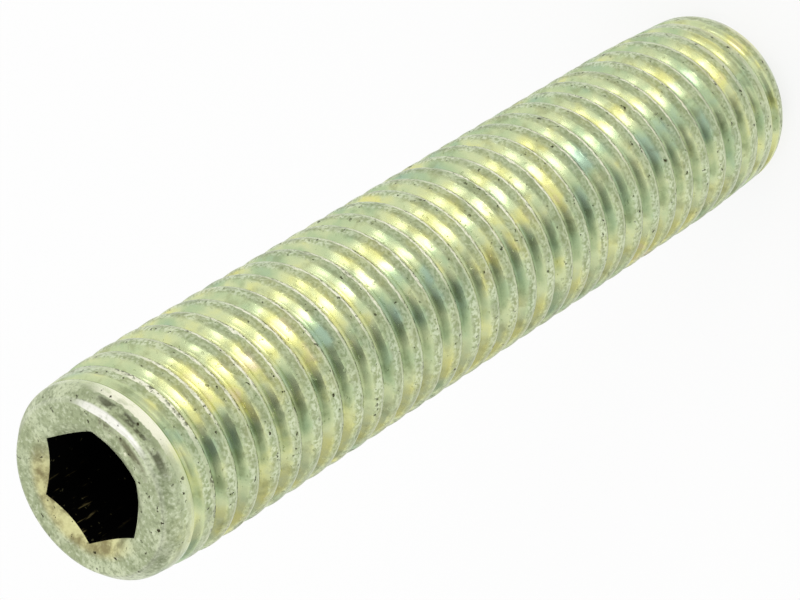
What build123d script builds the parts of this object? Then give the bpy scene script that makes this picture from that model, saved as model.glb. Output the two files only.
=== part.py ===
"""Adjusting bolt of a wear pad: a hexagon socket set screw with flat point, M10 x 1.5 x 50.

One rolled and broached piece. It stands on its point, its axis is Z and its socket opens upwards.
The thread is right-hand and runs over the whole length. Its crests are what is left of the turned
blank, and its flanks are flat facets that follow the helix round.
"""
from build123d import *
from math import acos, atan, cos, degrees, pi, radians, sqrt, tan
import os

# Blank
major_diameter = 10.0
length = 50.0
lead_drop = 0.3  # how much lower than the full thread the first turn is, on the radius
chamfer_angle = 45.0

# Thread
pitch = 1.5
crest_width = 0.5
flank_angle = 30.0
groove_bearing = -102.8  # where the middle of the groove would reach the socket's face
groove_end_depth = 0.9  # from the socket's face down to the middle of the groove where it runs out
tool_clearance = 0.25  # how far the groove's tool stands out of the blank
facets_per_turn = 25

# Point end
point_chamfer = 0.9
point_lead_length = 6.5

# Socket end
socket_chamfer = 0.5
socket_lead_length = 4.0

# Hexagon socket
key_size = 5.0
socket_depth = 6.0
countersink_margin = 0.2  # from the hexagon's corners out to the countersink's mouth
countersink_angle = 120.0
pilot_undersize = 0.1
pilot_run_out = 0.6  # full-diameter drilling below the broached hexagon
drill_point_angle = 118.0

# Radii and heights of the blank
major_radius = major_diameter / 2
lead_radius = major_radius - lead_drop
point_radius = lead_radius - point_chamfer
socket_face_radius = lead_radius - socket_chamfer
point_shoulder = point_chamfer / tan(radians(chamfer_angle))
socket_shoulder = length - socket_chamfer / tan(radians(chamfer_angle))

# Radii and heights of the socket
corner_radius = key_size / 2 / cos(radians(30))
countersink_radius = corner_radius + countersink_margin
pilot_radius = (key_size - pilot_undersize) / 2
countersink_floor = length - (countersink_radius - pilot_radius) / tan(radians(countersink_angle / 2))
pilot_floor = length - socket_depth - pilot_run_out
drill_tip = pilot_floor - pilot_radius / tan(radians(drill_point_angle / 2))

# The groove's V: its corners lie on circles drawn round the facets, so a facet's middle has the
# thread's own radius
half_facet = pi / facets_per_turn
thread_depth = (pitch - crest_width) / 2 / tan(radians(flank_angle))
root_radius = (major_radius - thread_depth) / cos(half_facet)
mouth_radius = (major_radius + tool_clearance) / cos(half_facet)
mouth_half_width = (thread_depth + tool_clearance) * tan(radians(flank_angle))

# The V leans out of the axis's plane: its mouth's corners lie ahead of its root and behind it by
# the bearing at which each flank facet's four corners share a plane
climb_ratio = mouth_half_width * tan(half_facet) * facets_per_turn / pitch
radius_ratio = (root_radius / mouth_radius + mouth_radius / root_radius) / 2
lean_bearing = degrees(atan(climb_ratio) - acos(radius_ratio / sqrt(1 + climb_ratio**2)))


def groove_section(bearing):
    """Root, upper and lower corner of the groove's V at a bearing, counted on over the turns."""
    middle = length + pitch * (bearing - groove_bearing) / 360
    root = Vector(root_radius, 0, middle)
    upper = Vector(mouth_radius, 0, middle + mouth_half_width).rotate(Axis.Z, lean_bearing)
    lower = Vector(mouth_radius, 0, middle - mouth_half_width).rotate(Axis.Z, -lean_bearing)
    return [corner.rotate(Axis.Z, bearing) for corner in (root, upper, lower)]


def facet(*corners):
    """Flat face between its corners."""
    return Face(Wire.make_polygon(corners))


def groove_tool():
    """The groove as a solid, from where it runs out near the socket down past the point."""
    last_bearing = groove_bearing - 360 * groove_end_depth / pitch
    facet_count = round((length / pitch + 2) * facets_per_turn)
    bearings = [last_bearing - 360 * step / facets_per_turn for step in range(facet_count)]
    sections = [groove_section(bearing) for bearing in bearings]
    # the tool leaves the blank straight on, at a tangent
    run_out = Vector(0, major_radius, 0).rotate(Axis.Z, last_bearing)
    sections.insert(0, [corner + run_out for corner in sections[0]])
    faces = [facet(*sections[0]), facet(*sections[-1])]
    for (root, upper, lower), (next_root, next_upper, next_lower) in zip(sections, sections[1:]):
        faces.append(facet(root, upper, next_upper, next_root))
        faces.append(facet(root, next_root, next_lower, lower))
        faces.append(facet(upper, lower, next_lower))
        faces.append(facet(upper, next_lower, next_upper))
    return Solid(Shell(faces))


with BuildPart() as set_screw:
    # Turned blank: half of its section, turned about the axis
    with BuildSketch(Plane.XZ):
        with BuildLine():
            Polyline(
                (0, 0),
                (point_radius, 0),
                (lead_radius, point_shoulder),
                (major_radius, point_lead_length),
                (major_radius, length - socket_lead_length),
                (lead_radius, socket_shoulder),
                (socket_face_radius, length),
                (0, length),
                close=True,
            )
        make_face()
    revolve(axis=Axis.Z)

    # Thread
    add(groove_tool(), mode=Mode.SUBTRACT)

    # Drilled pilot with its countersink
    with BuildSketch(Plane.XZ):
        with BuildLine():
            Polyline(
                (0, length),
                (countersink_radius, length),
                (pilot_radius, countersink_floor),
                (pilot_radius, pilot_floor),
                (0, drill_tip),
                close=True,
            )
        make_face()
    revolve(axis=Axis.Z, mode=Mode.SUBTRACT)

    # Broached hexagon, corners on X
    with BuildSketch(Plane.XY.offset(length)):
        RegularPolygon(key_size / 2, 6, major_radius=False)
    extrude(amount=-socket_depth, mode=Mode.SUBTRACT)

set_screw.part.label = "set_screw"

os.makedirs("parts", exist_ok=True)
export_step(set_screw.part, "parts/set_screw.step")
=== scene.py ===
# %% [markdown]
# # A plated set screw in Blender
#
# The object is the adjusting bolt of a wear pad: an M10 set screw, 50 mm long, with a hexagon
# socket in one end and a flat point on the other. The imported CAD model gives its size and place.
# This script gives it its thread and its plating, and sets up the floor, the light and the camera.

from math import atan2, cos, degrees, hypot, pi, radians, sin, sqrt, tan
from types import SimpleNamespace

import bmesh
import bpy
from mathutils import Matrix, Quaternion, Vector, noise


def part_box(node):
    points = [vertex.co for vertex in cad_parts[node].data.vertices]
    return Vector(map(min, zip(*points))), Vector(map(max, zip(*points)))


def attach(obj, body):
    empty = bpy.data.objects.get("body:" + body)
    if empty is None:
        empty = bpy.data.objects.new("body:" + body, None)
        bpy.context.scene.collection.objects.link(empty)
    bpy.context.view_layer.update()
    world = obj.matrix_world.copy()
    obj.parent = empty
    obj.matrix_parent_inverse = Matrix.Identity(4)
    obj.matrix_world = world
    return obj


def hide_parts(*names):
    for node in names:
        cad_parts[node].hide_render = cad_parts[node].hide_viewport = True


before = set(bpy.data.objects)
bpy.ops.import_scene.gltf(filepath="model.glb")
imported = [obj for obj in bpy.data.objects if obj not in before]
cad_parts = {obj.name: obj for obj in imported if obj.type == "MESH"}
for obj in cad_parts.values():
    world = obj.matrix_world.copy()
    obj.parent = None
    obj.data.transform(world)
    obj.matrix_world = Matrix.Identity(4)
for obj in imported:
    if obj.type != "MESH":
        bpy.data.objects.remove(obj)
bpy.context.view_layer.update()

# %% [markdown]
# ## Sizes
#
# The screw is modelled in millimetres and scaled to metres at the end, because that is how a
# screw is dimensioned, and because Blender's mesh tools merge points that are closer than a few
# micrometres. The overall length and diameter are measured on the frame. Every other size stands
# with the step that first needs it.

# %% Overall sizes
MM = 0.001
LOW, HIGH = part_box("set_screw")
LENGTH = 1000 * (HIGH.z - LOW.z)
CREST_RADIUS = 500 * (HIGH.y - LOW.y)
print("length", round(LENGTH, 3), "crest radius", round(CREST_RADIUS, 3))

# %% [markdown]
# ## The thread
#
# A thread is one profile carried round the axis while it climbs. The profile here is a zigzag of
# straight lines with five corners for each turn: the root, two crest corners, and a belly on each
# flank, where the flank stands a little proud. A vertex bevel rounds them all, which gives the
# broad soft highlights of a rolled and plated thread. The profile is as long as the screw, so one
# trip round the axis that climbs one pitch makes the whole thread: where the trip ends, each tooth
# meets the next tooth's start.

# %% Thread sizes
PITCH = 1.5
CREST_WIDTH = 0.5
FLANK_ANGLE = 40.0  # between a flank and a plane across the axis
CREST_ROUNDING = 0.21
ROOT_ROUNDING = 0.1
BELLY = 0.03  # how far a flank's middle stands proud
BELLY_ROUNDING = 0.17
FIRST_CREST = 0.757  # below the socket's face, at the bearing that follows
FIRST_CREST_BEARING = -104.5

FLANK_RUN = (PITCH - CREST_WIDTH) / 2
SHARP_DEPTH = FLANK_RUN / tan(radians(FLANK_ANGLE))
print("groove before rounding:", round(SHARP_DEPTH, 3), "deep")


# %% Corners of one tooth
def tooth_corners(turn):
    """One turn of the profile at bearing zero: root, belly, two crest corners, belly."""
    crest_middle = LENGTH - FIRST_CREST - PITCH * FIRST_CREST_BEARING / 360 - PITCH * turn
    slope = radians(FLANK_ANGLE)
    belly_radius = CREST_RADIUS - SHARP_DEPTH / 2 + BELLY * sin(slope)
    belly_run = (CREST_WIDTH + FLANK_RUN) / 2 + BELLY * cos(slope)
    return (
        (CREST_RADIUS - SHARP_DEPTH, 0, crest_middle - PITCH / 2),
        (belly_radius, 0, crest_middle - belly_run),
        (CREST_RADIUS, 0, crest_middle - CREST_WIDTH / 2),
        (CREST_RADIUS, 0, crest_middle + CREST_WIDTH / 2),
        (belly_radius, 0, crest_middle + belly_run),
    )


print("first tooth:", [(round(x, 2), round(z, 2)) for x, _, z in tooth_corners(0)])

# %% Draw the thread's profile
SPARE_TURNS = 2  # beyond each end, for the cuts that come later
NEAR = 0.1  # share of the depth within which a corner counts as a root or a crest


def draw_profile(mesh):
    """A zigzag from below the point to above the socket, with every corner rounded."""
    turns = range(int(LENGTH / PITCH) + SPARE_TURNS, -SPARE_TURNS - 1, -1)
    corners = [mesh.verts.new(corner) for turn in turns for corner in tooth_corners(turn)]
    for lower, upper in zip(corners, corners[1:]):
        mesh.edges.new((lower, upper))
    inner = corners[1:-1]
    roots = [vertex for vertex in inner if vertex.co.x < CREST_RADIUS - (1 - NEAR) * SHARP_DEPTH]
    crests = [vertex for vertex in inner if vertex.co.x > CREST_RADIUS - NEAR * SHARP_DEPTH]
    bellies = [vertex for vertex in inner if vertex not in roots and vertex not in crests]
    for vertices, offset, segments in (
        (roots, ROOT_ROUNDING, 2), (bellies, BELLY_ROUNDING, 2), (crests, CREST_ROUNDING, 3),
    ):
        bmesh.ops.bevel(
            mesh, geom=vertices, offset=offset, segments=segments, profile=0.5,
            affect="VERTICES", material=-1,
        )
    print("profile:", len(mesh.verts), "points")


screw = bmesh.new()
draw_profile(screw)

# %% [markdown]
# ## One trip round the axis
#
# Spin takes a step round Z and, through dvec, a step up with each copy. After a full turn the
# profile has climbed one pitch and lies on its own start, one tooth further on. Spin's own merge
# would pull it back to where it began, so the doubled points are merged afterwards instead.

# %% Spin the profile into a thread
STEPS = 150
DOUBLED = 0.001  # points closer than this are one point


def spin_thread(mesh):
    """Carry the profile once round Z while it climbs one pitch, and close the seam."""
    bmesh.ops.spin(
        mesh, geom=mesh.verts[:] + mesh.edges[:], cent=(0, 0, 0), axis=(0, 0, 1),
        dvec=(0, 0, PITCH / STEPS), angle=2 * pi, steps=STEPS, use_duplicate=False,
    )
    bmesh.ops.remove_doubles(mesh, verts=mesh.verts, dist=DOUBLED)
    print("thread:", len(mesh.faces), "faces")


spin_thread(screw)

# %% [markdown]
# ## What the finish has to know
#
# Plating wears by place: crests rub, roots stay bright. So each point keeps two numbers that the
# finish reads later, as attributes of the mesh, for its wear and for its painted light and shade.
# One is its height above the root as a share of the tooth, the other its side of the crest: -1
# towards the point, 1 towards the socket. They are taken here, before anything bends the teeth.


# %% Mark the teeth
def mark_teeth(mesh):
    """Give each point its height on the tooth and its side of the crest."""
    tooth_height = mesh.verts.layers.float.new("tooth_height")
    thread_side = mesh.verts.layers.float.new("thread_side")
    root_radius = min(hypot(vertex.co.x, vertex.co.y) for vertex in mesh.verts)
    for vertex in mesh.verts:
        height = hypot(vertex.co.x, vertex.co.y) - root_radius
        vertex[tooth_height] = height / (CREST_RADIUS - root_radius)
        turns = (LENGTH - FIRST_CREST - vertex.co.z) / PITCH
        turns += (degrees(atan2(vertex.co.y, vertex.co.x)) - FIRST_CREST_BEARING) / 360
        vertex[thread_side] = -sin(2 * pi * turns)
    print("root radius:", round(root_radius, 3))
    return tooth_height, thread_side


tooth_height, thread_side = mark_teeth(screw)

# %% [markdown]
# ## The turned form
#
# The blank was turned before the thread was rolled, so its chamfers and its slightly slimmer ends
# limit the teeth. Each point is brought in to that form wherever it stands outside it. A smooth
# minimum does it, which leaves a rounded edge of a chosen size where a plain one leaves a crease.

# %% Radius of the turned form
LEAD_DROP = 0.3  # how much smaller the radius is at either end
LEAD_RADIUS = CREST_RADIUS - LEAD_DROP
POINT_CHAMFER = 0.9
POINT_LEAD = 6.5
SOCKET_CHAMFER = 0.5
SOCKET_CHAMFER_SLOPE = 0.8
SOCKET_LEAD = 4.0
TAPER_ROUNDING = 0.1
POINT_ROUNDING = 0.5
SOCKET_ROUNDING = 0.15


def smooth_minimum(first, second, width):
    """The smaller of two lengths, rounded off over a width where they are close."""
    overlap = max(width - abs(first - second), 0) / width
    return min(first, second) - overlap * overlap * width / 4


def turned_radius(height):
    """Radius of the blank at a height: a chamfer at each end, then a taper to full diameter."""
    from_top = LENGTH - height
    point_slope = LEAD_DROP / (POINT_LEAD - POINT_CHAMFER)
    socket_slope = LEAD_DROP / (SOCKET_LEAD - SOCKET_CHAMFER)
    point_taper = LEAD_RADIUS + (height - POINT_CHAMFER) * point_slope
    socket_taper = LEAD_RADIUS + (from_top - SOCKET_CHAMFER) * socket_slope
    radius = smooth_minimum(CREST_RADIUS, min(point_taper, socket_taper), TAPER_ROUNDING)
    radius = smooth_minimum(radius, LEAD_RADIUS - POINT_CHAMFER + height, POINT_ROUNDING)
    socket_cone = LEAD_RADIUS - SOCKET_CHAMFER + SOCKET_CHAMFER_SLOPE * from_top
    return smooth_minimum(radius, socket_cone, SOCKET_ROUNDING)


for level in (0, LENGTH / 2, LENGTH):
    print("blank at", round(level), "mm: radius", round(turned_radius(level), 3))

# %% [markdown]
# ## Run-out and wear
#
# A rolled thread doesn't stop at full depth: near the socket's face its groove runs out. And no
# crest stays perfect. Smooth noise gives the crests a slight waviness, and where other noise is
# high it knocks in a few nicks. Both fade towards the root, which nothing touches.

# %% Limit the teeth to the turned form
RUN_OUT = 2.5  # length over which the groove runs out
LEAST_GROOVE = 0.3  # share of its depth that is left at the face
WAVE_SIZE, WAVE_DEPTH = 0.7, 0.014
NICK_SIZE, NICK_DEPTH = 0.55, 0.35
NICK_THRESHOLD = 0.42
NICK_SQUASH = Vector((1, 1, 1.6))  # nicks are longer round the screw than along it
NICK_SHIFT = Vector((7, 3, 5))  # keeps them apart from the waves
BLEND = 0.06  # rounding between the teeth and the turned form


def groove_share(height):
    """How deep the groove is, as a share: it runs out just before the socket's face."""
    from_top = min(max((LENGTH - height) / RUN_OUT, 0), 1)
    return LEAST_GROOVE + (1 - LEAST_GROOVE) * from_top * from_top * (3 - 2 * from_top)


def wear(vertex):
    """How far a crest is knocked in: a slight waviness, and a few deeper nicks."""
    place = vertex.co
    wave = 0.5 + 0.5 * noise.noise(place / WAVE_SIZE)
    nick = noise.noise(place * NICK_SQUASH / NICK_SIZE + NICK_SHIFT)
    nick = max(nick - NICK_THRESHOLD, 0)
    return vertex[tooth_height] ** 3 * (WAVE_DEPTH * wave + NICK_DEPTH * nick)


def limit_teeth(mesh):
    """Bring every point in to the turned form, and make the groove shallow near the socket."""
    for vertex in mesh.verts:
        radius = hypot(vertex.co.x, vertex.co.y)
        shallow = CREST_RADIUS - (CREST_RADIUS - radius) * groove_share(vertex.co.z)
        wanted = smooth_minimum(shallow, turned_radius(vertex.co.z), BLEND) - wear(vertex)
        vertex.co.x *= wanted / radius
        vertex.co.y *= wanted / radius
    print("largest wear:", round(max(wear(vertex) for vertex in mesh.verts), 3))


limit_teeth(screw)

# %% [markdown]
# ## Ring by ring
#
# The thread runs past both ends, so a cut at each end's height leaves a round rim. From there the
# rest of the screw is made ring by ring: the rim is extruded, and the new ring is moved to its
# own height and radius. Either may depend on the bearing, so a ring can be any outline.

# %% Cut an end and carry its rim inwards
TIP_RADIUS = 0.01


def cut_level(mesh, height, outward):
    """Remove what lies beyond a height and return the rim's edges."""
    cut = bmesh.ops.bisect_plane(
        mesh, geom=mesh.verts[:] + mesh.edges[:] + mesh.faces[:], dist=0.0001,
        plane_co=(0, 0, height), plane_no=(0, 0, outward), clear_outer=True,
    )
    return [item for item in cut["geom_cut"] if isinstance(item, bmesh.types.BMEdge)]


def next_ring(mesh, rim, radius, height, material=0):
    """Extrude a rim and move the new ring to a radius and a height, each a number or a function."""
    grown = bmesh.ops.extrude_edge_only(mesh, edges=rim)["geom"]
    points = {item for item in grown if isinstance(item, bmesh.types.BMVert)}
    for point in points:
        bearing = atan2(point.co.y, point.co.x)
        reach = radius(bearing) if callable(radius) else radius
        level = height(bearing) if callable(height) else height
        point.co = (reach * cos(bearing), reach * sin(bearing), level)
        point[tooth_height] = 1
        point[thread_side] = 0
    for item in grown:
        if isinstance(item, bmesh.types.BMFace):
            item.material_index = material
    edges = [item for item in grown if isinstance(item, bmesh.types.BMEdge)]
    return [edge for edge in edges if set(edge.verts) <= points]


def close_rim(mesh, rim, height):
    """Close a rim with a fan of triangles round one point on the axis."""
    ring = next_ring(mesh, rim, TIP_RADIUS, height, material=rim[0].link_faces[0].material_index)
    points = list({point for edge in ring for point in edge.verts})
    bmesh.ops.pointmerge(mesh, verts=points, merge_co=(0, 0, height))


# %% [markdown]
# ## Flat point
#
# The end that bears on the wear pad is flat, with a wide chamfer that leads the screw into its
# hole. The turned form has already given the thread that chamfer. What is left is the flat face:
# a ring a little inside the cut keeps the shading of the corner crisp, and two more keep the mesh
# even.

# %% Point
POINT_EDGE = 0.15  # from the corner to the first ring


def make_point(mesh):
    """The flat face of the point, in rings from the cut to the axis."""
    rim = cut_level(mesh, 0, -1)
    face_radius = LEAD_RADIUS - POINT_CHAMFER
    for radius in (face_radius - POINT_EDGE, face_radius * 0.6, face_radius * 0.3):
        rim = next_ring(mesh, rim, radius, 0)
    close_rim(mesh, rim, 0)
    print("point: face radius", round(face_radius, 3))


make_point(screw)

# %% [markdown]
# ## Hexagon socket
#
# A real socket is drilled, countersunk and then broached. Here the rings go from the outside in:
# the face with its rounded rim, the round mouth of the countersink, the hexagon, and the drilled
# pilot below it. Each point of the hexagon's first ring is put at the height where the
# countersink's cone meets the flats, which gives the shallow curves that a real socket shows.

# %% Socket sizes
KEY_SIZE = 5.1  # a 5 mm key with a little play
SOCKET_DEPTH = 6.0
MOUTH_RADIUS = KEY_SIZE / sqrt(3) + 0.2
COUNTERSINK_SLOPE = tan(radians(60))
PILOT_RADIUS = 2.45
PILOT_DEPTH = 6.6
DRILL_SLOPE = tan(radians(59))
FACE_ROUNDING = 0.3
ROUNDED_ANGLE = 45  # how far the face's rim turns down before the chamfer goes on


def hexagon_radius(bearing):
    """Distance from the axis to the hexagon's flats, whose corners lie on X."""
    turn = bearing % radians(60) - radians(30)
    return KEY_SIZE / 2 / cos(turn)


def hexagon_mouth(bearing):
    """Height at which the countersink's cone meets the hexagon."""
    return LENGTH - (MOUTH_RADIUS - hexagon_radius(bearing)) / COUNTERSINK_SLOPE


print("hexagon:", KEY_SIZE / 2, "to a flat,", round(hexagon_radius(0), 3), "to a corner")


# %% Socket
def make_face(mesh):
    """The socket's face: a rounded rim, then rings up to the mouth of the countersink."""
    face_radius = LEAD_RADIUS - SOCKET_CHAMFER
    sink = FACE_ROUNDING * (1 - cos(radians(ROUNDED_ANGLE)))
    rim = cut_level(mesh, LENGTH - sink, 1)
    centre = face_radius - FACE_ROUNDING * tan(radians(ROUNDED_ANGLE / 2))
    for angle in (33, 22, 11, 0):
        rounded = centre + FACE_ROUNDING * sin(radians(angle))
        rim = next_ring(mesh, rim, rounded, LENGTH - FACE_ROUNDING * (1 - cos(radians(angle))))
    for share in (0.75, 0.5, 0.25, 0.1, 0):
        rim = next_ring(mesh, rim, MOUTH_RADIUS + share * (centre - MOUTH_RADIUS), LENGTH)
    return rim


def make_socket(mesh, rim):
    """The countersink, the hexagon and the drilled pilot, from the mouth down."""
    rim = next_ring(mesh, rim, hexagon_radius, hexagon_mouth)
    for share in (0.08, 0.3, 0.6, 1):
        rim = next_ring(mesh, rim, hexagon_radius, LENGTH - SOCKET_DEPTH * share, material=1)
    for depth in (SOCKET_DEPTH, PILOT_DEPTH):
        rim = next_ring(mesh, rim, PILOT_RADIUS, LENGTH - depth, material=1)
    close_rim(mesh, rim, LENGTH - PILOT_DEPTH - PILOT_RADIUS / DRILL_SLOPE)


make_socket(screw, make_face(screw))
open_edges = [edge for edge in screw.edges if not edge.is_manifold]
print("closed:", not open_edges, "faces:", len(screw.faces))

# %% [markdown]
# ## Into the scene
#
# The screw is now one closed shell, so recalculating its normals turns every face outwards. It is
# scaled to metres and shaded smooth, but edges that are sharper than a set angle, such as the
# socket's, stay crisp. It rides on the model's only body and stands for the plain CAD screw.

# %% Finish the mesh and put it in the scene
SHARP_ANGLE = 38

bmesh.ops.recalc_face_normals(screw, faces=screw.faces)
bmesh.ops.scale(screw, vec=(MM, MM, MM), verts=screw.verts)
screw_mesh = bpy.data.meshes.new("threaded_screw")
screw.to_mesh(screw_mesh)
screw.free()
for face in screw_mesh.polygons:
    face.use_smooth = True
screw_mesh.set_sharp_from_angle(angle=radians(SHARP_ANGLE))
piece = bpy.data.objects.new("threaded_screw", screw_mesh)
bpy.context.scene.collection.objects.link(piece)
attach(piece, "root")
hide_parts("set_screw")
print("triangles:", sum(len(face.vertices) - 2 for face in screw_mesh.polygons))

# %% [markdown]
# ## Shader sums in plain Python
#
# A finish is a network of nodes, and most of its nodes do small sums. Here a socket is wrapped in
# a class whose operators add the Math nodes, so that a mask can be written as 1 - wear * dirt.
# Every other node comes from one method, which takes its type, its settings and its inputs.


# %% A socket that Python can calculate with
class Signal:
    """An output socket; + - and * on it add Math nodes."""

    def __init__(self, finish, socket):
        self.finish = finish
        self.socket = socket

    def math(self, operation, *values):
        """A Math node of an operation on up to three values."""
        return self.finish.node("ShaderNodeMath", {"operation": operation}, dict(enumerate(values)))

    def __add__(self, other):
        return self.math("ADD", self, other)

    def __radd__(self, other):
        return self.math("ADD", other, self)

    def __sub__(self, other):
        return self.math("SUBTRACT", self, other)

    def __rsub__(self, other):
        return self.math("SUBTRACT", other, self)

    def __mul__(self, other):
        return self.math("MULTIPLY", self, other)

    def __rmul__(self, other):
        return self.math("MULTIPLY", other, self)

    def cosine(self):
        return self.math("COSINE", self)

    def step(self, start, end, low=0.0, high=1.0):
        """A smooth step from low to high while the signal goes from start to end."""
        values = {"Value": self, "From Min": start, "From Max": end, "To Min": low, "To Max": high}
        settings = {"interpolation_type": "SMOOTHSTEP"}
        return self.finish.node("ShaderNodeMapRange", settings, values)

    def band(self, start, end, soft):
        """1 between start and end, fading to 0 over a soft width inside them."""
        return self.step(start, start + soft) * self.step(end, end - soft)

    def facing(self, bearing, zero, full):
        """For a bearing in radians: 1 near the given one in degrees, 0 far from it."""
        turned = (self - radians(bearing)).cosine()
        return turned.step(cos(radians(zero)), cos(radians(full)))


# %% A finish that nodes are added to
class Finish:
    """A material with one Principled shader, and short ways to add nodes."""

    def __init__(self, name):
        self.material = bpy.data.materials.new(name)
        self.material.use_nodes = True
        self.tree = self.material.node_tree
        self.shader = self.tree.nodes["Principled BSDF"]
        self.place = self.node("ShaderNodeTexCoord", {}, {}, output="Object")

    def node(self, kind, settings, inputs, output=0):
        """Add a node: settings first, then a value or a link for each socket."""
        node = self.tree.nodes.new(kind)
        for name, value in settings.items():
            if name == "stops":
                self.set_stops(node.color_ramp.elements, value)
            else:
                setattr(node, name, value)
        for name, value in inputs.items():
            self.feed(node.inputs[name], value)
        return Signal(self, node.outputs[output])

    def set_stops(self, elements, stops):
        while len(elements) < len(stops):
            elements.new(1.0)
        for element, (position, colour) in zip(elements, stops):
            element.position = position
            element.color = colour

    def feed(self, socket, value):
        if isinstance(value, Signal):
            self.tree.links.new(value.socket, socket)
        else:
            socket.default_value = value

    def shader_input(self, name, value):
        self.feed(self.shader.inputs[name], value)

    def show(self, surface):
        """Make another shader's output the material's surface."""
        self.feed(self.tree.nodes["Material Output"].inputs["Surface"], surface)

    def mix(self, share, first, second, blend="MIX"):
        settings = {"data_type": "RGBA", "blend_type": blend}
        return self.node("ShaderNodeMix", settings, {0: share, 6: first, 7: second}, output=2)

    def noise(self, place, size, detail=2.0, roughness=0.5):
        """Noise whose blobs are about size metres across."""
        inputs = {"Vector": place, "Scale": 1 / size, "Detail": detail, "Roughness": roughness}
        return self.node("ShaderNodeTexNoise", {}, inputs, output="Fac")

    def attribute(self, name):
        """A number that the mesh's points carry."""
        return self.node("ShaderNodeAttribute", {"attribute_name": name}, {}, output="Fac")

    def part(self, axis):
        """One of the object coordinates."""
        return self.node("ShaderNodeSeparateXYZ", {}, {0: self.place}, output=axis)

    def bearing(self):
        """The angle round the Z axis, in radians."""
        north = self.part("Y")
        return north.math("ARCTAN2", north, self.part("X"))

    def stretched(self, scale):
        """Object coordinates stretched by a factor along each axis."""
        settings = {"operation": "MULTIPLY"}
        return self.node("ShaderNodeVectorMath", settings, {0: self.place, 1: scale})

    def length(self, vector):
        return self.node("ShaderNodeVectorMath", {"operation": "LENGTH"}, {0: vector}, "Value")

    def bump(self, height, depth, normal=None):
        inputs = {"Height": height, "Distance": depth, "Strength": 1.0}
        if normal:
            inputs["Normal"] = normal
        return self.node("ShaderNodeBump", {}, inputs)


# %% Colours
def linear(part):
    """A part of a screen colour, from 0 to 1, as the amount of light it stands for."""
    return part / 12.92 if part < 0.04 else ((part + 0.055) / 1.055) ** 2.4


def shade(hex_code):
    """Linear colour from the usual six-digit code."""
    parts = [int(hex_code[start:start + 2], 16) / 255 for start in (0, 2, 4)]
    return (*map(linear, parts), 1)


def grey(level):
    """A grey of a linear level, where 1 is white."""
    return (level, level, level, 1)


print("middle grey of a screen:", [round(part, 3) for part in shade("808080")])

# %% [markdown]
# ## Zinc with a yellow-green chromate
#
# The plating is bright zinc under a chromate film. The film is so thin that it colours the
# reflections by interference, from teal through green to yellow and peach where it is thicker. A
# colour ramp over a made-up thickness gives that, broken up by noise. The thickness also swings in
# lobes round the bar, placed so that teal falls where the flanks mirror the dark sheets and yellow
# near the highlights: that part is painted reflection colour.

# %% Colour of the chromate film
TINTS = [
    (0.10, shade("99b89f")),
    (0.30, shade("aec597")),
    (0.48, shade("cfdaa6")),
    (0.66, shade("e4e48e")),
    (0.86, shade("e6d2b4")),
]
# Painted reflection colour: teal where the flanks mirror dark sheets, yellow near highlights.
REFLECTION_TINT_LOBES = 4  # how often the film thins and thickens again round the bar
TEAL_REFLECTION_BEARING = radians(-124)  # where it is thinnest


def film_tint(finish, bearing):
    """Colour of the chromate film by its thickness, with lobes of painted reflection tint."""
    patches = finish.noise(finish.stretched((1, 1, 1.5)), 1.9 * MM, detail=4) - 0.5
    drift = finish.noise(finish.place, 12 * MM, detail=1) - 0.5
    # Painted reflection colour: the lobes swing the tint with the bearing.
    reflection_lobe = ((bearing - TEAL_REFLECTION_BEARING) * REFLECTION_TINT_LOBES + patches * 4 + drift * 4).cosine()
    thickness = 0.44 - reflection_lobe * 0.1 + patches * 1.15 + drift * 0.3
    return finish.node("ShaderNodeValToRGB", {"stops": TINTS}, {0: thickness}, output="Color")


print("tints of the film:", len(TINTS))

# %% [markdown]
# ## Masks
#
# A worn surface is painted in layers, and each layer needs a mask: a signal that is 1 where the
# layer shows. The masks come from three things: the numbers that the mesh carries, the place on
# the screw, and noise of several sizes that keeps every border ragged. Some layers keep to one
# side of the screw: they paint light and shade. A side is a bearing from X towards Y, with the
# half widths at which its mask is down to 0 and up to 1, all in degrees.

# %% Where things are on the screw
FACE = LENGTH * MM
# Side where the crests' edge gets a painted highlight, near white.
LIT_EDGE_SIDE = (-82, 36, 12)


def find_places(finish):
    """Signals for the place on the screw, the noises, and the masks made of them."""
    # Places: round the axis, along it, out from it, and on the tooth
    where = SimpleNamespace(bearing=finish.bearing(), z=finish.part("Z"))
    where.reach = finish.length(finish.stretched((1, 1, 0)))
    where.height = finish.attribute("tooth_height")
    where.side = finish.attribute("thread_side")

    # Noises: for ragged borders, and for blotches from fine to coarse
    where.ragged = finish.noise(finish.place, 0.3 * MM, detail=3) - 0.5
    where.grain = finish.noise(finish.place, 0.16 * MM, detail=3)
    where.stains = finish.noise(finish.stretched((1, 1, 2.5)), 0.9 * MM, detail=4)
    where.clouds = finish.noise(
        finish.stretched((1, 1, 1.2)), 1.1 * MM, detail=5, roughness=0.6,
    )

    # Masks: the crests, the first turn, the turns past the slim point, and the socket's end
    where.crest = (where.height + where.ragged * 0.3).step(0.72, 0.96)
    where.first_turn = where.z.step(FACE - 1.7 * MM, FACE - 1.3 * MM)
    where.full_thread = where.z.step(2 * MM, 11 * MM)
    where.end = (where.z + where.ragged * (0.6 * MM)).step(FACE - 1.1 * MM, FACE - 0.5 * MM)
    return where


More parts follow.
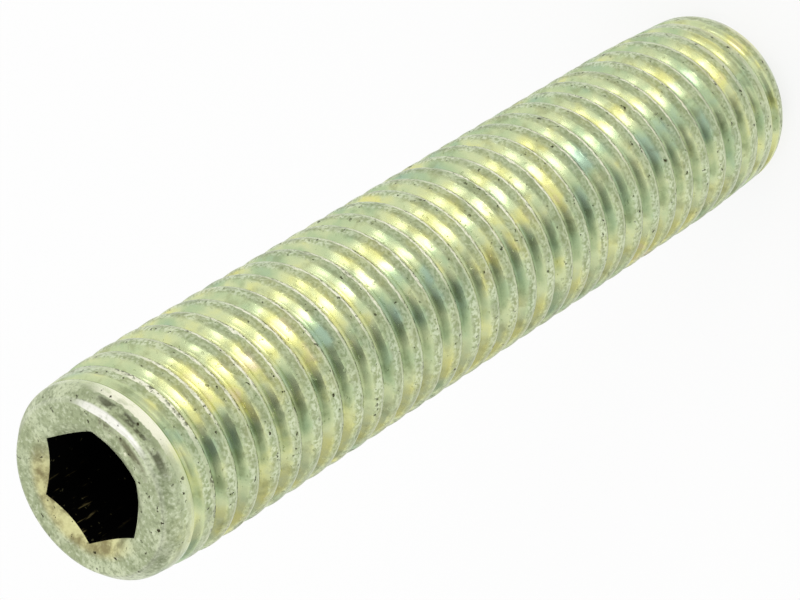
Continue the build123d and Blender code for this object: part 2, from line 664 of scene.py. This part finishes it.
def find_edges(where):
    """Masks for the crests' edge towards the point, and for its stretch with a painted highlight.
    """
    edge = (where.side * -1 + where.ragged * 0.9 + where.first_turn * 0.2).step(0.24, 0.46)
    where.edge = edge * (where.height + where.first_turn * 0.3).step(0.64, 0.8)
    # Painted highlight: the edge on the lit side, in patches, fainter towards the point.
    where.rubbed = where.bearing.facing(*LIT_EDGE_SIDE)
    patchy = where.stains.step(0.66, 0.5, 0.6, 1.0)
    patchy = patchy * (where.grain - where.first_turn * 0.15).step(0.6, 0.5, 0.5, 1.0)
    where.polish = where.edge * where.rubbed * patchy * (where.full_thread * 0.7 + 0.3)


print("socket's face at", round(FACE, 5), "m")

# %% [markdown]
# ## Flanks and crests
#
# The flanks stay smooth and keep the film's colours, a little clouded. Low in the roots on one side
# they are painted darker and more green: painted shade. The crests carried the wear: they are
# duller, speckled with bare grain and stained. On two sides they are painted a darker olive:
# painted reflection at the front, where they mirror dark, and painted shade at the far limb.

# %% Film on the flanks
SHADED_ROOT_SIDE = (-133, 19, 8)


def flank_colour(finish, where):
    """The film's colours, paled and clouded, and painted shade low in the roots on one side."""
    film = finish.mix(0.12, film_tint(finish, where.bearing), shade("dedcc0"))
    film = finish.mix(where.clouds.step(0.5, 0.68) * 0.4, film, shade("868a5c"))
    # Painted shade: darker and more green low in the roots on the shaded side.
    shaded = where.bearing.facing(*SHADED_ROOT_SIDE) * where.height.step(0.85, 0.5)
    shaded = shaded * where.clouds.step(0.3, 0.62, 0.5, 1.0)
    painted_root_shade = finish.mix(1.0, film, shade("bcc8bc"), "MULTIPLY")
    return finish.mix(shaded * 0.8, film, painted_root_shade)

# %% Wear on the crests
# Sides where the crests are painted darker: painted reflection at the front, shade at the limb.
SHADED_CREST_SIDES = (-92, 42, 18), (-190, 40, 16)


def wear_crests(finish, where, colour):
    """Speckles of two greens, painted darker on two sides as reflection and shade, stains over
    them.
    """
    speckles = where.grain.step(0.38, 0.6)
    light = finish.mix(speckles, shade("99a67a"), shade("dde6c8"))
    olive = finish.mix(speckles, shade("8f9b72"), shade("bcc6a2"))
    # Painted reflection and shade: the darker olive pair on those two sides.
    front, back = [where.bearing.facing(*side) for side in SHADED_CREST_SIDES]
    worn = finish.mix(front + back, light, olive)
    worn = finish.mix(where.stains.step(0.46, 0.62) * 0.55, worn, shade("7d855c"))
    return finish.mix(where.crest * 0.72, colour, worn)


# %% [markdown]
# ## Edges of the crests
#
# The edge of each crest towards the point is painted pale all round, and near white in a thin
# line on the side that faces the lamps: a painted highlight. Dark specks go in the corner just
# under it: painted shade, less towards the point, and not on the first turn.


# %% Rubbed edges
def paint_edge_light_and_shade(finish, where, colour):
    """Painted highlight, pale all round and near white on one side, and painted shade under it."""
    # Painted highlight: pale edge on the unlit side, near white on the lit side.
    colour = finish.mix(where.edge * (1 - where.rubbed) * 0.5, colour, shade("d6deba"))
    colour = finish.mix(where.polish, colour, shade("fbfae2"))
    # Painted shade: dark specks in the corner just under the edge.
    under = (where.side * -1).step(0.3, 0.5) * where.height.band(0.56, 0.98, 0.12)
    crease_shade = under * (where.grain + where.stains * 0.5).step(0.77, 0.86)
    crease_shade = crease_shade * (where.full_thread - where.first_turn)
    return finish.mix(crease_shade * 0.8, colour, shade("4c4a34"))


# %% [markdown]
# ## The end with the socket
#
# Tools strike this end, so it is dull and blotchy. The countersink is painted a lighter straw on
# the side whose wall faces the lamps: painted light. Two mottled rings, on the face and on the
# chamfer, are painted darker on one side: painted shade. Between them the face's rounded rim
# gets a painted highlight where the lamps catch it.

# %% Dull face and straw countersink
LIT_STRAW_SIDE = (90, 95, 50)


def dull_face_and_lit_straw(finish, where, colour):
    """Blotches of three greens on the face and chamfer, and painted light on the countersink."""
    dull = finish.mix(where.clouds.step(0.36, 0.6), shade("d3dbb9"), shade("a9b38e"))
    dull = finish.mix(where.grain.step(0.5, 0.64) * 0.65, dull, shade("848d6c"))
    dull = finish.mix(where.grain.step(0.44, 0.34) * 0.5, dull, shade("e6ecd2"))
    colour = finish.mix(where.end * (1 - where.polish) * 0.9, colour, dull)
    # Painted light: a lighter straw on the countersink's wall that faces the lamps.
    straw = finish.mix(where.clouds.step(0.4, 0.6), shade("e4dfa2"), shade("94875a"))
    countersink = where.reach.step(3.6 * MM, 3.0 * MM) * where.bearing.facing(*LIT_STRAW_SIDE)
    return finish.mix(countersink * 0.8, colour, straw)

# %% Grime and bright rim
DARK_RING_SIDE = (-88, 40, 16)
RIM_HIGHLIGHT_SIDE = (-76, 34, 14)
WIDE_HIGHLIGHT_SIDE = (-70, 22, 6)
EXTRA_HIGHLIGHT_WIDTH = 0.14 * MM
# Each ring has its inner radius, its outer radius and the soft width inside them.
FACE_DARK_RING = (3.4 * MM, 4.05 * MM, 0.25 * MM)
CHAMFER_DARK_RING = (4.38 * MM, 4.68 * MM, 0.1 * MM)
RIM_HIGHLIGHT = (4.08 * MM, 4.36 * MM, 0.08 * MM)


def paint_rim_shade_and_highlight(finish, where, colour):
    """Painted shade in rings on face and chamfer, a painted highlight on the rim between them."""
    # Painted shade: mottled darker rings on one side of the face and the chamfer.
    dark_ring_mask = where.end * (where.stains + where.grain * 0.5).step(0.88, 0.66)
    dark_ring_mask = dark_ring_mask * where.bearing.facing(*DARK_RING_SIDE) * 0.9
    colour = finish.mix(where.reach.band(*FACE_DARK_RING) * dark_ring_mask, colour, shade("6b6b4e"))
    colour = finish.mix(where.reach.band(*CHAMFER_DARK_RING) * dark_ring_mask, colour, shade("52543f"))
    # Painted highlight: the rounded rim near white where the lamps catch it, widest on one side.
    inner, outer, soft = RIM_HIGHLIGHT
    wider_highlight = where.bearing.facing(*WIDE_HIGHLIGHT_SIDE) * EXTRA_HIGHLIGHT_WIDTH
    rim = (where.reach + wider_highlight).step(inner, inner + soft) * where.reach.step(outer, outer - soft)
    rim = rim * (where.bearing.facing(*RIM_HIGHLIGHT_SIDE) * 0.9 + 0.1)
    rim = rim * (where.ragged * 2.2 + 1.0).step(0, 1)
    return finish.mix(rim, colour, shade("fbfaf0"))


# %% [markdown]
# ## The plating as a whole
#
# The layers go on in the order in which the real ones came about, with painted light and shade
# among them, and dark pits go on last. The metal is fully metallic, because plating is: its colour
# is the colour of its reflections. Wear makes it rougher. Two bumps bend the reflections, slow
# waves from rolling and, on the crests, a fine grain with the pits sunk into it.

# %% Zinc plating
WAVE_HEIGHT = 0.03 * MM
GRAIN_HEIGHT = 0.03 * MM


def make_zinc():
    """The plating: its layers of colour, its roughness and its relief."""
    finish = Finish("zinc_plating")
    where = find_places(finish)
    find_edges(where)
    colour = flank_colour(finish, where)
    # Painted light and shade is among these layers: dark roots and crests, highlights, dark rings.
    for layer in (wear_crests, paint_edge_light_and_shade, dull_face_and_lit_straw, paint_rim_shade_and_highlight):
        colour = layer(finish, where, colour)
    pits = finish.noise(finish.place, 0.26 * MM, detail=2).step(0.67, 0.73)
    pits = pits * (where.crest * 0.85 + 0.15)
    finish.shader_input("Base Color", finish.mix(pits, colour, shade("46442e")))
    finish.shader_input("Metallic", 1.0)
    finish.shader_input("Roughness", where.crest * 0.12 + where.end * 0.12 + 0.22)
    waves = finish.bump(finish.noise(finish.place, 1.1 * MM, detail=0), WAVE_HEIGHT)
    relief = (where.grain * 0.7 + where.ragged) * (where.crest + 0.04) - pits * 2
    finish.shader_input("Normal", finish.bump(relief, GRAIN_HEIGHT, waves))
    print("zinc_plating:", len(finish.tree.nodes), "nodes")
    return finish.material


screw_mesh.materials.append(make_zinc())

# %% [markdown]
# ## Socket in painted shade
#
# Little light finds its way into a socket six millimetres deep. So the hexagon gets a finish of
# its own that is nearly black: painted shade for the deep recess. It has a few specks of bare metal
# and scratches along the axis where the key went in, which show only on the wall that faces the
# lamps: partly real scratches, partly painted light.

# %% Socket finish
LIT_SCRATCH_SIDE = (105, 70, 30)


def make_socket_shade():
    """The hexagon in painted shade, near black, with specks and scratches on its lit wall."""
    finish = Finish("socket_shade")
    specks = finish.noise(finish.place, 0.22 * MM, detail=1).step(0.72, 0.8)
    along_axis = finish.stretched((1, 1, 0.12))
    scratches = finish.noise(along_axis, 0.16 * MM, detail=2).step(0.6, 0.7)
    scratches = scratches * finish.part("Z").step(FACE - 3.2 * MM, FACE - 0.8 * MM)
    # Painted light: the scratches show only on the wall that faces the lamps.
    scratches = scratches * finish.bearing().facing(*LIT_SCRATCH_SIDE)
    # Painted shade: the recess is near black.
    colour = finish.mix(specks, shade("020202"), shade("4a4832"))
    finish.shader_input("Base Color", finish.mix(scratches * 0.8, colour, shade("6e6440")))
    finish.shader_input("Roughness", 0.6)
    finish.shader_input("Specular IOR Level", 0.05)
    print("socket_shade:", len(finish.tree.nodes), "nodes")
    return finish.material


screw_mesh.materials.append(make_socket_shade())

# %% [markdown]
# ## A white world
#
# Metal has no colour of its own apart from what it mirrors, so the room matters as much as the
# plating. The world is plain white for every ray. It is the soft light from all sides, the bright
# room in the reflections and the background past the floor's edge, all at once.

# %% World
world = bpy.data.worlds.new("studio")
world.use_nodes = True
world.node_tree.nodes["Background"].inputs["Color"].default_value = grey(1)
bpy.context.scene.world = world
print("world:", world.name)

# %% [markdown]
# ## Floor
#
# The screw stands on matt white paint. Under plain light such paint renders a little grey, so it
# is mixed with a white glow, but only for the rays that show a background: straight from the
# camera, mirrored, or through glass. The light that the paint sends to the screw stays plain, and
# the share of paint that is left in the mix still shows the screw's shadow.

# %% Floor
FLOOR_SIZE = 1.5
FLOOR_GLOW = 0.8


def make_floor_white():
    """Matt white paint that glows for the rays that show a background."""
    finish = Finish("floor_white")
    finish.shader_input("Base Color", grey(0.92))
    finish.shader_input("Roughness", 0.9)
    seen = finish.node("ShaderNodeLightPath", {}, {}, output="Is Camera Ray")
    for ray in ("Is Glossy Ray", "Is Transmission Ray"):
        seen = seen.math("MAXIMUM", seen, finish.node("ShaderNodeLightPath", {}, {}, output=ray))
    matt = Signal(finish, finish.shader.outputs[0])
    glow = finish.node("ShaderNodeEmission", {}, {"Color": grey(1)})
    finish.show(finish.node("ShaderNodeMixShader", {}, {0: seen * FLOOR_GLOW, 1: matt, 2: glow}))
    return finish.material


flat = bmesh.new()
bmesh.ops.create_grid(flat, x_segments=1, y_segments=1, size=FLOOR_SIZE)
floor_mesh = bpy.data.meshes.new("floor")
flat.to_mesh(floor_mesh)
flat.free()
floor_mesh.materials.append(make_floor_white())
floor = bpy.data.objects.new("floor", floor_mesh)
bpy.context.scene.collection.objects.link(floor)
print("floor:", 2 * FLOOR_SIZE, "m wide")

# %% [markdown]
# ## Lamps
#
# Two soft lamps give each tooth its highlights: a larger one high on the camera's side, and a
# weaker one further round. Their sizes set how far the highlights spread round the bar. Lamps and
# sheets are placed by azimuth and elevation, seen from the middle of the screw.

# %% Places seen from the middle of the screw
MIDDLE = Vector((0, 0, FACE / 2))


def direction(azimuth, elevation):
    """The unit vector towards an azimuth and an elevation in degrees."""
    level = cos(radians(elevation))
    east, north = level * cos(radians(azimuth)), level * sin(radians(azimuth))
    return Vector((east, north, sin(radians(elevation))))


def put_facing_middle(thing, azimuth, elevation, distance):
    """Put an object at a distance from the screw's middle, with its -Z axis towards it."""
    away = direction(azimuth, elevation)
    thing.location = MIDDLE + distance * away
    thing.rotation_euler = (-away).to_track_quat("-Z", "Y").to_euler()
    bpy.context.scene.collection.objects.link(thing)
    print(thing.name, "at", [round(value, 3) for value in thing.location])


# %% Lamps
def softbox(name, azimuth, elevation, distance, size, power):
    """A round lamp of a width in metres and a power in watts."""
    data = bpy.data.lights.new(name, "AREA")
    data.shape = "DISK"
    data.size = size
    data.energy = power
    put_facing_middle(bpy.data.objects.new(name, data), azimuth, elevation, distance)


softbox("key_lamp", -74, 52.5, 0.5, size=0.125, power=0.11)
softbox("side_lamp", -39, 46, 0.5, size=0.07, power=0.032)

# %% [markdown]
# ## Sheets
#
# In an all-white room a metal screw looks flat. A studio hangs dark sheets round it, and so does
# this scene: the screw mirrors them as the dark bands between its highlights. A low grey wall in
# front does the same for the rounded shoulders of the crests. Only reflections see the sheets: the
# camera, the floor's light and the shadows pass through them.


# %% A sheet and its paint
def sheet_paint(name, level, fade):
    """A paint that glows at one level, or fades from it to white between two distances."""
    finish = Finish(name)
    brightness = grey(level)
    if fade:
        brightness = finish.length(finish.place).step(*fade, level, 1.0)
    finish.show(finish.node("ShaderNodeEmission", {}, {"Color": brightness}))
    return finish.material


def add_sheet(name, bent, level, fade=None):
    """A sheet of a grey level that only reflections see."""
    sheet_mesh = bpy.data.meshes.new(name)
    bent.to_mesh(sheet_mesh)
    bent.free()
    sheet_mesh.materials.append(sheet_paint(name, level, fade))
    sheet = bpy.data.objects.new(name, sheet_mesh)
    for ray in ("camera", "diffuse", "transmission", "volume_scatter", "shadow"):
        setattr(sheet, "visible_" + ray, False)
    return sheet


# %% Grey wall
COVE_REACH = 0.4
COVE_FOOT, COVE_TOP = 0.0004, 0.27
COVE_STEPS = 24


def grey_cove(start, end, level):
    """A low grey wall that stands on the floor, bent round the screw from start to end."""
    bent = bmesh.new()
    turn = Matrix.Rotation(radians(start), 3, "Z")
    foot, top = [turn @ Vector((COVE_REACH, 0, height)) for height in (COVE_FOOT, COVE_TOP)]
    upright = [bent.verts.new(foot), bent.verts.new(top)]
    edge = bent.edges.new(upright)
    bmesh.ops.spin(
        bent, geom=[*upright, edge], cent=(0, 0, 0), axis=(0, 0, 1), dvec=(0, 0, 0),
        angle=radians(end - start), steps=COVE_STEPS, use_duplicate=False,
    )
    bpy.context.scene.collection.objects.link(add_sheet("grey_cove", bent, level))
    print("grey_cove from", start, "to", end, "degrees")


grey_cove(-132, -28, level=0.79)


# %% Soft sheets
def soft_sheet(name, azimuth, elevation, distance, inner, outer, level):
    """A sheet that is dark in its middle and fades into the white room towards its edge."""
    square = bmesh.new()
    bmesh.ops.create_grid(square, x_segments=1, y_segments=1, size=outer)
    sheet = add_sheet(name, square, level, fade=(inner, outer))
    put_facing_middle(sheet, azimuth, elevation, distance)


soft_sheet("dark_side", -145, 55, 0.45, inner=0.02, outer=0.2, level=0.22)
soft_sheet("dark_back", 180, 60, 0.45, inner=0.02, outer=0.17, level=0.25)
soft_sheet("dark_top", -85, 80, 0.45, inner=0.02, outer=0.12, level=0.1)
soft_sheet("grey_side", 132, 20, 0.6, inner=0.1, outer=0.42, level=0.55)

# %% [markdown]
# ## Camera
#
# The camera looks down on the standing screw from its front, close enough that the socket's end is
# clearly the nearer one. It is rolled, so that the screw lies across the frame from corner to
# corner: the roll turns it round its own line of sight after it was aimed.

# %% Camera
AIM = Vector((-0.00026, 0.00007, 0.02782))
CAMERA_AZIMUTH, CAMERA_ELEVATION = -103.97, 44.4
CAMERA_DISTANCE = 0.18454
CAMERA_ROLL = -122.26

camera_data = bpy.data.cameras.new("camera")
camera_data.lens = 175.0
camera_data.clip_start = 0.01
camera = bpy.data.objects.new("camera", camera_data)
towards_camera = direction(CAMERA_AZIMUTH, CAMERA_ELEVATION)
camera.location = AIM + CAMERA_DISTANCE * towards_camera
look = (-towards_camera).to_track_quat("-Z", "Y")
camera.rotation_euler = (look @ Quaternion((0, 0, 1), radians(CAMERA_ROLL))).to_euler()
bpy.context.scene.collection.objects.link(camera)
bpy.context.scene.camera = camera
bpy.context.scene.view_settings.view_transform = "Standard"
print("camera at", [round(value, 3) for value in camera.location])
